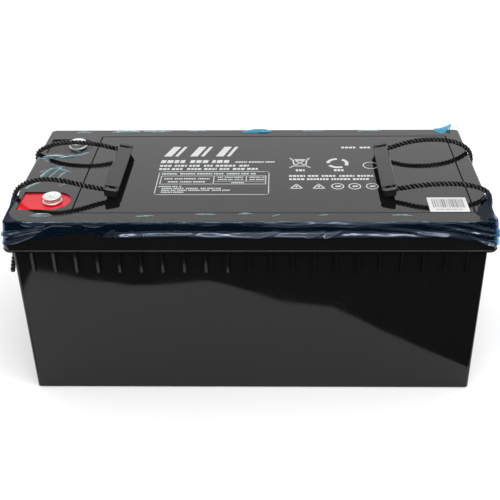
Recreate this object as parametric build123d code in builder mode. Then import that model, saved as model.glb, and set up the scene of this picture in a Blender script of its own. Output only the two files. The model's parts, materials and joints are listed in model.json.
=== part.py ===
from build123d import *
import os
from math import pi, radians, tan

# 12 V deep cycle gel battery: six cells in a ribbed case, a sealed lid with two
# sunken terminals at one end, and a rope handle at each end.
# Frame: origin at the centre of the case's underside, X along the length with the
# terminals at -X, +Y to the rear (the positive terminal is at -Y), +Z up. Millimetres.

# ---- driving dimensions -------------------------------------------------------------
LENGTH = 522.0  # over the rim
WIDTH = 244.0  # over the rim
LID_TOP = 223.0
SEAM = 191.0  # where the lid is sealed to the case
RIM_BOTTOM = 188.5
RIM_CORNER = 9.0
CASE_CORNER = 3.5
FOOT_R = 2.0

WALL_X = 252.0  # half length of the case just under the rim
WALL_Y = 117.0
DRAFT = 2.5  # how far each wall leans in at the bottom
FLOOR = 6.0
CAVITY_X = 245.0  # half size of the space for the cells
CAVITY_Y = 110.0
PARTITION = 4.0

RIB_COUNT = 21  # gussets under the front and the rear rim
RIB_PITCH = 23.1
RIB_THICK = 3.0
RIB_BOTTOM = 162.0
RIB_TOP_OUT = 4.4
RIB_BOTTOM_OUT = 2.6
EAR_RIB_SPREAD = 9.5  # from each rope hole to the gussets beside it

ROPE_R = 3.4
ROPE_Y = 54.0  # the rope's two holes at each end
HOLE_X = 258.8
HOLE_R = 3.9
EAR_X = 265.0
EAR_WIDTH = 24.0
NOTCH_R = 4.3
PIVOT_X = 265.5  # where each rope bends as its handle swings out
PIVOT_Z = 205.0
STUB_TOP = 193.0
KNOT_R = 6.3
KNOT_X = 259.2
KNOT_Z = 182.0

LID_TAPER = 4.0
LID_STRAIGHT = 4.0
LID_EDGE_R = 1.6
LID_HOLLOW_X = 250.0
LID_HOLLOW_Y = 112.0
LID_HOLLOW_TOP = 212.0

COVER_X0, COVER_X1 = -189.0, 238.0
COVER_Y = 97.0
COVER_THICK = 3.0
COVER_GAP = 1.2
COVER_LEDGE = 6.0
LIFT_SLOT = (3.0, 5.0, 3.0)
LIFT_SLOT_INSET = 22.0
RECESS_FLOOR = 218.0

TERMINAL_X = -215.0
TERMINAL_Y = 70.0
POCKET_X0 = -250.0
POCKET_R = 20.0
POCKET_FLOOR = 210.0
POCKET_WALL = 3.0
EPOXY_TOP = 221.2
POST_R = 8.4
COLLAR_R = 12.0
COLLAR_BOTTOM, COLLAR_TOP = 213.0, 216.0
COLUMN_R = 6.5
COLUMN_TOP = 222.2
THREAD_R = 4.05  # M8 thread, modelled as a plain bore
SHANK_R = 3.95
BORE_BOTTOM = 204.0
SHANK_BOTTOM = 211.0
WASHER_R = 10.5
WASHER_THICK = 1.6
SPRING_R = 9.6
SPRING_THICK = 2.2
SPRING_SLOT = 1.6
COLLAR_UNDER_R = 9.4  # under the bolt's round head
COLLAR_UNDER_THICK = 1.2
HEAD_R = 10.0
HEAD_THICK = 2.0
SOCKET_FLATS = 6.0
SOCKET_DEPTH = 1.6

PLATE_X = 150.0
PLATE_Z0, PLATE_Z1 = 10.0, 155.0
POSITIVE_THICK = 4.6
NEGATIVE_THICK = 3.2
SEPARATOR_THICK = 2.4
POSITIVE_COUNT = 8  # each cell has one more negative plate
LUG_WIDTH = 12.0
STRAP_Z0, STRAP_Z1 = 163.0, 171.0
STRAP_WIDTH = 26.0
FLAG_THICK = 5.0
FLAG_WIDTH = 30.0
FLAG_WIDTH_MIDDLE = 20.0
FLAG_TOP = 190.0
WELD_Z = 181.0
WELD_R = 6.5

VALVE_Y = 28.0
WELL_R = 12.0
WELL_FLOOR = 208.0
NECK_R = 5.0
VENT_R = 3.0
NECK_TOP = 213.5
CAP_R = 6.6
CAP_TOP = 215.5
PAD_TOP = 217.5

GRIP_X, GRIP_Y, GRIP_Z = 152.0, -8.0, 230.0  # the middle of the grip
GRIP_LENGTH = 120.0
GRIP_WIDTH = 17.0
GRIP_THICK = 9.8
GRIP_TILT = 11.0  # degrees, with the edge on the rope's side up
GRIP_DRAFT = 14.0  # degrees, by which every side leans in towards the bottom
GRIP_BEVEL = 0.8
GROOVE_INSET = 8.2  # from the grip's end to the groove behind its lip
GROOVE_R = 4.5
GROOVE_DEPTH = 2.2
CHANNEL = 7.4  # width of the grip's rope channel
CORNER_RELIEF = 6.0
ENTRY_INSET = 9.0  # from the grip's end to where the rope goes in

FILM_BOTTOM = 206.0
FILM_THICK = 0.9
FILM_GAP = 0.1
FILM_NOTCH = 16.0

LABEL_X0, LABEL_X1 = 191.5, 233.5
LABEL_Y0, LABEL_Y1 = -96.0, -64.5
LABEL_THICK = 0.3

CELL_X = (2 * CAVITY_X - 2 * PARTITION) / 3
CELL_Y = (2 * CAVITY_Y - PARTITION) / 2
CELL_STEP_X = CELL_X + PARTITION
CELL_STEP_Y = (CELL_Y + PARTITION) / 2
STACK_STEP = POSITIVE_THICK + NEGATIVE_THICK + 2 * SEPARATOR_THICK

os.makedirs("parts", exist_ok=True)


def keep(piece, name):
    """Labels a finished piece and writes its STEP file."""
    piece.label = name
    export_step(piece, f"parts/{name}.step")


def corner_radii(points):
    """The largest arc that each corner's two runs allow, for FilletPolyline."""
    radii = []
    for before, here, after in zip(points, points[1:], points[2:]):
        coming = Vector(here) - Vector(before)
        going = Vector(after) - Vector(here)
        half_turn = radians(coming.get_angle(going)) / 2
        radii.append(0.45 * min(coming.length, going.length) / tan(half_turn))
    return radii


# ---- case ---------------------------------------------------------------------------
with BuildPart() as container:
    with BuildSketch():
        RectangleRounded(2 * (WALL_X - DRAFT), 2 * (WALL_Y - DRAFT), CASE_CORNER)
    with BuildSketch(Plane.XY.offset(RIM_BOTTOM)):
        RectangleRounded(2 * WALL_X, 2 * WALL_Y, CASE_CORNER)
    loft()
    fillet(container.faces().sort_by(Axis.Z)[0].edges(), FOOT_R)
    # The rim, with an ear round each rope hole.
    with BuildSketch(Plane.XY.offset(RIM_BOTTOM)):
        RectangleRounded(LENGTH, WIDTH, RIM_CORNER)
        with GridLocations(0, 2 * ROPE_Y, 1, 2):
            RectangleRounded(2 * EAR_X, EAR_WIDTH, 4)
    extrude(amount=SEAM - RIM_BOTTOM)
    # Gussets under the long rims.
    for side in (-1, 1):
        with BuildSketch(Plane.YZ.offset(-(RIB_COUNT - 1) / 2 * RIB_PITCH - RIB_THICK / 2)):
            with BuildLine():
                Polyline(
                    (side * (WALL_Y - DRAFT), RIM_BOTTOM),
                    (side * (WALL_Y + RIB_TOP_OUT), RIM_BOTTOM),
                    (side * (WALL_Y + RIB_BOTTOM_OUT), RIB_BOTTOM),
                    (side * (WALL_Y - DRAFT), RIB_BOTTOM),
                    close=True,
                )
            make_face()
        gusset = extrude(amount=RIB_THICK, mode=Mode.PRIVATE)
        with Locations(*[(k * RIB_PITCH, 0, 0) for k in range(RIB_COUNT)]):
            add(gusset)
    # A pair of gussets under each ear.
    for side in (-1, 1):
        for hole_y in (-ROPE_Y, ROPE_Y):
            for rib_y in (hole_y - EAR_RIB_SPREAD, hole_y + EAR_RIB_SPREAD):
                with BuildSketch(Plane.XZ.offset(-rib_y - RIB_THICK / 2)):
                    with BuildLine():
                        Polyline(
                            (side * (WALL_X - DRAFT), RIM_BOTTOM),
                            (side * (EAR_X - 2), RIM_BOTTOM),
                            (side * (WALL_X + 2), RIB_BOTTOM),
                            (side * (WALL_X - DRAFT), RIB_BOTTOM),
                            close=True,
                        )
                    make_face()
                extrude(amount=RIB_THICK)
    # Six cells.
    with Locations((0, 0, FLOOR)):
        with GridLocations(CELL_STEP_X, 2 * CELL_STEP_Y, 3, 2):
            Box(
                CELL_X,
                CELL_Y,
                SEAM - FLOOR,
                align=(Align.CENTER, Align.CENTER, Align.MIN),
                mode=Mode.SUBTRACT,
            )
    with Locations((0, 0, RIM_BOTTOM)):
        with GridLocations(2 * HOLE_X, 2 * ROPE_Y, 2, 2):
            Cylinder(HOLE_R, 40, mode=Mode.SUBTRACT)
    # Windows for the welds between neighbouring cells.
    for x in (-CELL_STEP_X / 2, CELL_STEP_X / 2):
        for y in (-CELL_STEP_Y, CELL_STEP_Y):
            with Locations(Location((x, y, WELD_Z), (0, 90, 0))):
                Cylinder(WELD_R, PARTITION + 1, mode=Mode.SUBTRACT)
    with Locations(Location((CAVITY_X - STRAP_WIDTH / 2, 0, WELD_Z), (90, 0, 0))):
        Cylinder(WELD_R, PARTITION + 1, mode=Mode.SUBTRACT)
keep(container.part, "container")

# ---- lid ----------------------------------------------------------------------------
POCKET_LENGTH = TERMINAL_X - POCKET_X0


def pocket_outline(grow):
    """A terminal pocket: square at the lid's end, half round at the other."""
    with Locations((TERMINAL_X - POCKET_LENGTH / 2, 0)):
        Rectangle(POCKET_LENGTH + 2 * grow, 2 * (POCKET_R + grow))
    with Locations((TERMINAL_X, 0)):
        Circle(POCKET_R + grow)


with BuildPart() as lid:
    with BuildSketch(Plane.XY.offset(SEAM)):
        RectangleRounded(LENGTH, WIDTH, RIM_CORNER)
    extrude(amount=LID_STRAIGHT)
    with BuildSketch(Plane.XY.offset(SEAM + LID_STRAIGHT)):
        RectangleRounded(LENGTH, WIDTH, RIM_CORNER)
    with BuildSketch(Plane.XY.offset(LID_TOP)):
        RectangleRounded(LENGTH - 2 * LID_TAPER, WIDTH - 2 * LID_TAPER, RIM_CORNER - 3)
    loft()
    fillet(lid.faces().sort_by(Axis.Z)[-1].edges(), LID_EDGE_R)
    # Hollow underside, with walls that meet the case's partitions.
    with BuildSketch(Plane.XY.offset(SEAM)):
        RectangleRounded(2 * LID_HOLLOW_X, 2 * LID_HOLLOW_Y, 4)
    extrude(amount=LID_HOLLOW_TOP - SEAM, mode=Mode.SUBTRACT)
    with BuildSketch(Plane.XY.offset(SEAM)):
        Rectangle(2 * LID_HOLLOW_X, PARTITION)
        with GridLocations(CELL_STEP_X, 0, 2, 1):
            Rectangle(PARTITION, 2 * LID_HOLLOW_Y)
    extrude(amount=LID_HOLLOW_TOP - SEAM)
    # Sunken bed for the cover plate.
    with BuildSketch(Plane.XY.offset(LID_TOP - COVER_THICK)):
        with Locations(((COVER_X0 + COVER_X1) / 2, 0)):
            RectangleRounded(
                COVER_X1 - COVER_X0 + 2 * COVER_GAP, 2 * (COVER_Y + COVER_GAP), 3
            )
    extrude(amount=COVER_THICK, mode=Mode.SUBTRACT)
    with BuildSketch(Plane.XY.offset(RECESS_FLOOR)):
        with Locations(((COVER_X0 + COVER_X1) / 2, 0)):
            RectangleRounded(
                COVER_X1 - COVER_X0 - 2 * COVER_LEDGE, 2 * (COVER_Y - COVER_LEDGE), 3
            )
    extrude(amount=LID_TOP - RECESS_FLOOR, mode=Mode.SUBTRACT)
    # A well, a neck and a vent for each cell's valve.
    with BuildSketch(Plane.XY.offset(WELL_FLOOR - 4)):
        with GridLocations(CELL_STEP_X, 2 * VALVE_Y, 3, 2):
            Circle(WELL_R + 3)
    extrude(amount=LID_HOLLOW_TOP - WELL_FLOOR + 4)
    with BuildSketch(Plane.XY.offset(WELL_FLOOR)):
        with GridLocations(CELL_STEP_X, 2 * VALVE_Y, 3, 2):
            Circle(WELL_R)
            Circle(NECK_R, mode=Mode.SUBTRACT)
    extrude(amount=LID_TOP - WELL_FLOOR, mode=Mode.SUBTRACT)
    with BuildSketch(Plane.XY.offset(NECK_TOP)):
        with GridLocations(CELL_STEP_X, 2 * VALVE_Y, 3, 2):
            Circle(NECK_R + 1)
    extrude(amount=LID_TOP - NECK_TOP, mode=Mode.SUBTRACT)
    with BuildSketch(Plane.XY.offset(WELL_FLOOR - 5)):
        with GridLocations(CELL_STEP_X, 2 * VALVE_Y, 3, 2):
            Circle(VENT_R)
    extrude(amount=NECK_TOP - WELL_FLOOR + 5, mode=Mode.SUBTRACT)
    # Terminal pockets, each with a hole for the post.
    for side in (-1, 1):
        with BuildSketch(Plane.XY.offset(POCKET_FLOOR - 4) * Pos(0, side * TERMINAL_Y, 0)):
            pocket_outline(POCKET_WALL)
        extrude(amount=LID_HOLLOW_TOP - POCKET_FLOOR + 4)
        with BuildSketch(Plane.XY.offset(POCKET_FLOOR) * Pos(0, side * TERMINAL_Y, 0)):
            pocket_outline(0)
        extrude(amount=LID_TOP - POCKET_FLOOR, mode=Mode.SUBTRACT)
        with Locations((TERMINAL_X, side * TERMINAL_Y, POCKET_FLOOR - 2)):
            Cylinder(POST_R + 0.3, 8, mode=Mode.SUBTRACT)
    # Half-round notches in the skirt, where the ropes come up.
    with Locations((0, 0, SEAM)):
        with GridLocations(2 * HOLE_X, 2 * ROPE_Y, 2, 2):
            Cylinder(
                NOTCH_R,
                LID_TOP - SEAM,
                align=(Align.CENTER, Align.CENTER, Align.MIN),
                mode=Mode.SUBTRACT,
            )
keep(lid.part, "lid")

# ---- cover plate over the valves ----------------------------------------------------
with BuildPart() as cover_plate:
    with BuildSketch(Plane.XY.offset(LID_TOP - COVER_THICK)):
        with Locations(((COVER_X0 + COVER_X1) / 2, 0)):
            RectangleRounded(COVER_X1 - COVER_X0, 2 * COVER_Y, 2.4)
    extrude(amount=COVER_THICK)
    chamfer(cover_plate.faces().sort_by(Axis.Z)[-1].edges(), 0.4)
    # A small slot in the rim lets a tool lift the plate at each end.
    slot_y = COVER_Y - LIFT_SLOT_INSET
    with Locations((COVER_X1, -slot_y, LID_TOP), (COVER_X0, slot_y, LID_TOP)):
        Box(*LIFT_SLOT, mode=Mode.SUBTRACT)
keep(cover_plate.part, "cover_plate")

# ---- valves -------------------------------------------------------------------------
# Cells are numbered in series order, from the positive terminal round to the negative.
CELLS = [(-1, -1), (0, -1), (1, -1), (1, 1), (0, 1), (-1, 1)]

for number, (column, row) in enumerate(CELLS, start=1):
    valve_x = column * CELL_STEP_X
    valve_y = row * VALVE_Y
    with BuildPart() as valve_cap:
        with BuildSketch(Plane.XY.offset(WELL_FLOOR + 0.5)):
            with Locations((valve_x, valve_y)):
                Circle(CAP_R)
        extrude(amount=CAP_TOP - WELL_FLOOR - 0.5)
        fillet(valve_cap.faces().sort_by(Axis.Z)[-1].edges(), 0.8)
        with Locations((valve_x, valve_y, WELL_FLOOR)):
            Cylinder(
                NECK_R,
                NECK_TOP - WELL_FLOOR,
                align=(Align.CENTER, Align.CENTER, Align.MIN),
                mode=Mode.SUBTRACT,
            )
    keep(valve_cap.part, f"valve_cap_{number}")

    with BuildPart() as valve_pad:
        with Locations((valve_x, valve_y, CAP_TOP)):
            Cylinder(
                WELL_R - 0.5,
                PAD_TOP - CAP_TOP,
                align=(Align.CENTER, Align.CENTER, Align.MIN),
            )
    keep(valve_pad.part, f"valve_pad_{number}")

# ---- plates, separators and straps --------------------------------------------------


def plate_group(x, y, count, thick, strap_x, flag):
    """Plates, lugs and the strap burned onto them: one lead casting.

    flag is None, "left", "right" or "middle": the partition its upstand is welded at.
    """
    stack = (count - 1) * STACK_STEP
    with BuildPart() as group:
        with Locations((x, y, PLATE_Z0)):
            with GridLocations(0, STACK_STEP, 1, count):
                Box(
                    PLATE_X,
                    thick,
                    PLATE_Z1 - PLATE_Z0,
                    align=(Align.CENTER, Align.CENTER, Align.MIN),
                )
        with Locations((strap_x, y, PLATE_Z1)):
            with GridLocations(0, STACK_STEP, 1, count):
                Box(
                    LUG_WIDTH,
                    thick,
                    STRAP_Z0 - PLATE_Z1,
                    align=(Align.CENTER, Align.CENTER, Align.MIN),
                )
        reach = CELL_Y / 2 if flag == "middle" else stack / 2 + thick / 2
        low = y - (reach if y > 0 else stack / 2 + thick / 2)
        high = y + (reach if y < 0 else stack / 2 + thick / 2)
        with Locations((strap_x, (low + high) / 2, STRAP_Z0)):
            Box(
                STRAP_WIDTH,
                high - low,
                STRAP_Z1 - STRAP_Z0,
                align=(Align.CENTER, Align.CENTER, Align.MIN),
            )
        if flag in ("left", "right"):
            side = 1 if flag == "right" else -1
            edge = strap_x + side * (STRAP_WIDTH - FLAG_THICK) / 2
            with Locations((edge, y, STRAP_Z1)):
                Box(
                    FLAG_THICK,
                    FLAG_WIDTH,
                    FLAG_TOP - STRAP_Z1,
                    align=(Align.CENTER, Align.CENTER, Align.MIN),
                )
        if flag == "middle":
            side = 1 if y < 0 else -1
            edge = y + side * (CELL_Y - FLAG_THICK) / 2
            with Locations((strap_x, edge, STRAP_Z1)):
                Box(
                    FLAG_WIDTH_MIDDLE,
                    FLAG_THICK,
                    FLAG_TOP - STRAP_Z1,
                    align=(Align.CENTER, Align.CENTER, Align.MIN),
                )
    return group.part


for number, (column, row) in enumerate(CELLS, start=1):
    cell_x = column * CELL_STEP_X
    cell_y = row * CELL_STEP_Y
    inset = (CELL_X - STRAP_WIDTH) / 2
    # In the front row current runs towards +X, in the rear row back towards -X.
    positive_x = cell_x + row * inset
    negative_x = cell_x - row * inset
    positive_flag = "left" if row < 0 else "right"
    negative_flag = "right" if row < 0 else "left"
    if number == 1:
        positive_x = TERMINAL_X
        positive_flag = None
    if number == 6:
        negative_x = TERMINAL_X
        negative_flag = None
    if number == 3:
        negative_flag = "middle"
    if number == 4:
        positive_flag = "middle"

    positive = plate_group(
        cell_x, cell_y, POSITIVE_COUNT, POSITIVE_THICK, positive_x, positive_flag
    )
    keep(positive, f"positive_plates_{number}")
    negative = plate_group(
        cell_x, cell_y, POSITIVE_COUNT + 1, NEGATIVE_THICK, negative_x, negative_flag
    )
    keep(negative, f"negative_plates_{number}")

    with BuildPart() as separators:
        for face in (-1, 1):
            offset_y = face * (POSITIVE_THICK + SEPARATOR_THICK) / 2
            with Locations((cell_x, cell_y + offset_y, PLATE_Z0 - 3)):
                with GridLocations(0, STACK_STEP, 1, POSITIVE_COUNT):
                    Box(
                        PLATE_X + 4,
                        SEPARATOR_THICK,
                        PLATE_Z1 - PLATE_Z0 + 5,
                        align=(Align.CENTER, Align.CENTER, Align.MIN),
                    )
    keep(separators.part, f"gel_separators_{number}")

# ---- welds through the partitions, in series order -----------------------------------
weld_places = [
    Location((-CELL_STEP_X / 2, -CELL_STEP_Y, WELD_Z), (0, 90, 0)),
    Location((CELL_STEP_X / 2, -CELL_STEP_Y, WELD_Z), (0, 90, 0)),
    Location((CAVITY_X - STRAP_WIDTH / 2, 0, WELD_Z), (90, 0, 0)),
    Location((CELL_STEP_X / 2, CELL_STEP_Y, WELD_Z), (0, 90, 0)),
    Location((-CELL_STEP_X / 2, CELL_STEP_Y, WELD_Z), (0, 90, 0)),
]
for number, place in enumerate(weld_places, start=1):
    with BuildPart() as weld:
        with Locations(place):
            Cylinder(WELD_R - 0.1, PARTITION)
    keep(weld.part, f"cell_weld_{number}")

# ---- terminals ----------------------------------------------------------------------
for name, side in (("positive", -1), ("negative", 1)):
    place = (TERMINAL_X, side * TERMINAL_Y)

    with BuildPart() as terminal:
        with BuildSketch(Plane.XZ * Pos(TERMINAL_X, 0, -side * TERMINAL_Y)):
            with BuildLine():
                Polyline(
                    (0, STRAP_Z1),
                    (POST_R, STRAP_Z1),
                    (POST_R, COLLAR_BOTTOM),
                    (COLLAR_R, COLLAR_BOTTOM),
                    (COLLAR_R, COLLAR_TOP),
                    (COLUMN_R, COLLAR_TOP),
                    (COLUMN_R, COLUMN_TOP),
                    (THREAD_R, COLUMN_TOP),
                    (THREAD_R, BORE_BOTTOM),
                    (0, BORE_BOTTOM),
                    close=True,
                )
            make_face()
        revolve(axis=Axis((*place, 0), (0, 0, 1)))
    keep(terminal.part, f"{name}_terminal")

    with BuildPart() as seal:
        with Locations((*place, (POCKET_FLOOR + COLLAR_BOTTOM) / 2)):
            Torus(POST_R + 1.7, 1.45)
    keep(seal.part, f"{name}_seal")

    with BuildPart() as epoxy:
        with BuildSketch(Plane.XY.offset(POCKET_FLOOR) * Pos(0, side * TERMINAL_Y, 0)):
            pocket_outline(-0.05)
        extrude(amount=EPOXY_TOP - POCKET_FLOOR)
        with Locations((*place, POCKET_FLOOR)):
            Cylinder(
                COLLAR_R + 0.05,
                COLLAR_TOP - POCKET_FLOOR,
                align=(Align.CENTER, Align.CENTER, Align.MIN),
                mode=Mode.SUBTRACT,
            )
            Cylinder(COLUMN_R + 0.05, 40, mode=Mode.SUBTRACT)
    keep(epoxy.part, f"{name}_epoxy")

    with BuildPart() as washer:
        with BuildSketch(Plane.XY.offset(COLUMN_TOP)):
            with Locations(place):
                Circle(WASHER_R)
                Circle(THREAD_R + 0.15, mode=Mode.SUBTRACT)
        extrude(amount=WASHER_THICK)
        outer = washer.edges().filter_by(GeomType.CIRCLE).sort_by(SortBy.RADIUS)[-2:]
        fillet(outer, 0.3)
    keep(washer.part, f"{name}_washer")

    spring_bottom = COLUMN_TOP + WASHER_THICK
    with BuildPart() as spring_washer:
        with BuildSketch(Plane.XY.offset(spring_bottom)):
            with Locations(place):
                Circle(SPRING_R)
                Circle(THREAD_R + 0.15, mode=Mode.SUBTRACT)
            with Locations((TERMINAL_X + SPRING_R / 2 + 2, side * TERMINAL_Y)):
                Rectangle(SPRING_R + 2, SPRING_SLOT, mode=Mode.SUBTRACT)
        extrude(amount=SPRING_THICK)
    keep(spring_washer.part, f"{name}_spring_washer")

    collar_bottom = spring_bottom + SPRING_THICK
    head_bottom = collar_bottom + COLLAR_UNDER_THICK
    with BuildPart() as bolt:
        with BuildSketch(Plane.XY.offset(SHANK_BOTTOM)):
            with Locations(place):
                Circle(SHANK_R)
        extrude(amount=collar_bottom - SHANK_BOTTOM)
        with BuildSketch(Plane.XY.offset(collar_bottom)):
            with Locations(place):
                Circle(COLLAR_UNDER_R)
        extrude(amount=COLLAR_UNDER_THICK)
        with BuildSketch(Plane.XY.offset(head_bottom)):
            with Locations(place):
                Circle(HEAD_R)
        extrude(amount=HEAD_THICK)
        fillet(bolt.faces().sort_by(Axis.Z)[-1].edges(), 0.7)
        with BuildSketch(Plane.XY.offset(head_bottom + HEAD_THICK)):
            with Locations(place):
                RegularPolygon(SOCKET_FLATS / 2, 6, major_radius=False)
        extrude(amount=-SOCKET_DEPTH, mode=Mode.SUBTRACT)
        chamfer(bolt.faces().sort_by(Axis.Z)[0].edges(), 0.8)
    keep(bolt.part, f"{name}_bolt")

# ---- rope handles -------------------------------------------------------------------
# Half of a rope, from its pivot at the lid's end to the inside of the grip: distance
# from the middle of the lid, height, and share of the way from the hole's to the entry's Y.
ROPE_HALF = [
    (265.5, 205.0, 0.0),
    (266.0, 215.5, 0.1),
    (260.5, 228.0, 0.25),
    (247.0, 238.5, 0.45),
    (228.0, 243.2, 0.6),
    (205.0, 242.2, 0.7),
    (183.0, 237.6, 0.8),
    (168.0, 233.2, 0.9),
    (157.0, 231.0, 1.0),
]
REAR_ENTRY_Y = GRIP_Y + GRIP_LENGTH / 2 - ENTRY_INSET
FRONT_ENTRY_Y = GRIP_Y - GRIP_LENGTH / 2 + ENTRY_INSET
INNER_TURN = 5.5  # how far past its entry the rope has turned along the grip


def rope_points(side):
    """The whole rope above the lid, from its rear pivot through the grip to the front."""
    rear = [
        (side * x, ROPE_Y + share * (REAR_ENTRY_Y - ROPE_Y), z) for x, z, share in ROPE_HALF
    ]
    front = [
        (side * x, -ROPE_Y + share * (FRONT_ENTRY_Y + ROPE_Y), z) for x, z, share in ROPE_HALF
    ]
    channel = [
        (side * GRIP_X, REAR_ENTRY_Y - INNER_TURN, GRIP_Z),
        (side * GRIP_X, FRONT_ENTRY_Y + INNER_TURN, GRIP_Z),
    ]
    return rear + channel + front[::-1]


# The tail that hangs below each knot: offsets out from the case, along Y and down.
TAILS = {
    "left_front": [(0, 0, 0), (3.5, -5.0, -16.0), (10.5, -10.0, -32.0), (14.0, -13.0, -53.0)],
    "left_rear": [(0, 0, 0), (2.0, 4.0, -13.0), (3.0, 9.0, -26.0), (2.0, 12.0, -37.0)],
    "right_front": [(0, 0, 0), (1.0, 3.5, -12.0), (1.5, 8.0, -22.0), (0.5, 11.0, -31.0)],
    "right_rear": [(0, 0, 0), (3.0, 3.0, -12.0), (4.0, 8.0, -24.0), (3.0, 11.0, -36.0)],
}

for side_name, side in (("left", -1), ("right", 1)):
    points = rope_points(side)
    radii = corner_radii(points)
    print(side_name, "rope radii", [round(r, 1) for r in radii])
    with BuildPart() as rope:
        with BuildLine() as route:
            path = FilletPolyline(*points, radius=radii)
        with BuildSketch(Plane(origin=route.line @ 0, z_dir=route.line % 0)):
            Circle(ROPE_R)
        sweep()
    share = rope.part.volume / (pi * ROPE_R**2 * path.length)
    print(side_name, "rope length", round(path.length, 1), "volume share", round(share, 4))
    keep(rope.part, f"{side_name}_rope")

    # Each end: up through the ear, a knot under it and a short tail.
    for end_name, end in (("front", -1), ("rear", 1)):
        place = (side * HOLE_X, end * ROPE_Y)
        knot_place = (side * KNOT_X, end * ROPE_Y, KNOT_Z)
        tail_points = [
            (knot_place[0] + side * out, knot_place[1] + along, knot_place[2] + up)
            for out, along, up in TAILS[f"{side_name}_{end_name}"]
        ]
        with BuildPart() as rope_end:
            with BuildLine() as tail_route:
                FilletPolyline(*tail_points, radius=corner_radii(tail_points))
            with BuildSketch(Plane(origin=tail_route.line @ 0, z_dir=tail_route.line % 0)):
                Circle(ROPE_R)
            sweep()
            with Locations(knot_place):
                Sphere(KNOT_R)
            with Locations((*place, KNOT_Z)):
                Cylinder(
                    ROPE_R,
                    STUB_TOP - KNOT_Z,
                    align=(Align.CENTER, Align.CENTER, Align.MIN),
                )
        keep(rope_end.part, f"{side_name}_{end_name}_rope_end")

    # The grip: a bar with bevelled edges, a lip behind a groove at each end, and a
    # channel for the rope, open underneath and out to the side at both entries.
    grip_plane = Plane(Location((side * GRIP_X, GRIP_Y, GRIP_Z), (0, -side * GRIP_TILT, 0)))
    entry_y = GRIP_LENGTH / 2 - ENTRY_INSET
    groove_y = GRIP_LENGTH / 2 - GROOVE_INSET
    lean = GRIP_THICK * tan(radians(GRIP_DRAFT))
    with BuildPart(grip_plane) as grip:
        with BuildSketch(grip_plane.offset(-GRIP_THICK / 2)):
            RectangleRounded(GRIP_WIDTH - 2 * lean, GRIP_LENGTH - 2 * lean, 1)
        extrude(amount=GRIP_THICK, taper=-GRIP_DRAFT)
        chamfer(grip.faces().sort_by(Axis.Z)[-1].edges(), GRIP_BEVEL)
        for end in (-1, 1):
            groove_z = GRIP_THICK / 2 - GROOVE_DEPTH + GROOVE_R
            with Locations(Location((0, end * groove_y, groove_z), (0, 90, 0))):
                Cylinder(GROOVE_R, GRIP_WIDTH + 2, mode=Mode.SUBTRACT)
        with BuildSketch(grip_plane.offset(-GRIP_THICK / 2)):
            Rectangle(CHANNEL, 2 * entry_y + CHANNEL)
            with Locations((side * GRIP_WIDTH / 3, -entry_y), (side * GRIP_WIDTH / 3, entry_y)):
                Rectangle(GRIP_WIDTH * 2 / 3, CHANNEL)
            # Relief at each inner corner, where the rope turns.
            relief_y = entry_y - CHANNEL / 2
            with Locations((side * CHANNEL / 2, -relief_y), (side * CHANNEL / 2, relief_y)):
                Rectangle(CORNER_RELIEF, CORNER_RELIEF, rotation=45)
        extrude(amount=GRIP_THICK / 2 + CHANNEL / 2, mode=Mode.SUBTRACT)
    keep(grip.part, f"{side_name}_grip")

# ---- protective film round the lid, torn open where the ropes come up ----------------
with BuildPart() as film:
    share_up = (FILM_BOTTOM - SEAM - LID_STRAIGHT) / (LID_TOP - SEAM - LID_STRAIGHT)
    for grow, mode in ((FILM_GAP + FILM_THICK, Mode.ADD), (FILM_GAP, Mode.SUBTRACT)):
        for z, share in ((FILM_BOTTOM, share_up), (LID_TOP, 1.0)):
            with BuildSketch(Plane.XY.offset(z)):
                RectangleRounded(
                    LENGTH - 2 * share * LID_TAPER + 2 * grow,
                    WIDTH - 2 * share * LID_TAPER + 2 * grow,
                    RIM_CORNER - 3 * share + grow,
                )
        loft(mode=mode)
    with Locations((0, 0, LID_TOP)):
        with GridLocations(LENGTH, 2 * ROPE_Y, 2, 2):
            Box(20, FILM_NOTCH, 80, mode=Mode.SUBTRACT)
keep(film.part, "protective_film")

# ---- label on the cover plate -------------------------------------------------------
with BuildPart() as label:
    with BuildSketch(Plane.XY.offset(LID_TOP)):
        with Locations(((LABEL_X0 + LABEL_X1) / 2, (LABEL_Y0 + LABEL_Y1) / 2)):
            RectangleRounded(LABEL_X1 - LABEL_X0, LABEL_Y1 - LABEL_Y0, 1)
    extrude(amount=LABEL_THICK)
keep(label.part, "barcode_label")
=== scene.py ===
import json
import math
import random

import bpy
import numpy as np
from mathutils import Matrix, Vector, noise


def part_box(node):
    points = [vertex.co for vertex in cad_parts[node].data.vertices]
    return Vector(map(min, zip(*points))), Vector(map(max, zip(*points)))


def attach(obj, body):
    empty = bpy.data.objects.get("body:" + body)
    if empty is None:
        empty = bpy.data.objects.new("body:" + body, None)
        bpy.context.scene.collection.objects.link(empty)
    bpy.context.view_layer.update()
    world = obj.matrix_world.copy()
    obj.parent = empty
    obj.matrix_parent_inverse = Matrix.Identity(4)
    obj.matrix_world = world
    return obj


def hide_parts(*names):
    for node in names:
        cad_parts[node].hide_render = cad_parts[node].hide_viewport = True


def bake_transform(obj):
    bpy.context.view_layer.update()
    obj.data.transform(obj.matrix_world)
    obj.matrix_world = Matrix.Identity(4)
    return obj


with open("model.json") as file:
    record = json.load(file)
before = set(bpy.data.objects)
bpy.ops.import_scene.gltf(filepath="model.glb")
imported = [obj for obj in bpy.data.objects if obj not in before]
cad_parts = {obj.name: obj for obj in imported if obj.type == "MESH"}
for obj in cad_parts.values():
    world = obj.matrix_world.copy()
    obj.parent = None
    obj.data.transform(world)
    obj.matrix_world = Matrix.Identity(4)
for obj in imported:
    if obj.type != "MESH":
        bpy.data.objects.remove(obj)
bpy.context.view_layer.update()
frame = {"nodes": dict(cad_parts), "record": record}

MM = 0.001
AROUND = 3 / math.pi  # the flow map's units for each radian round a strand of rope

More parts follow.
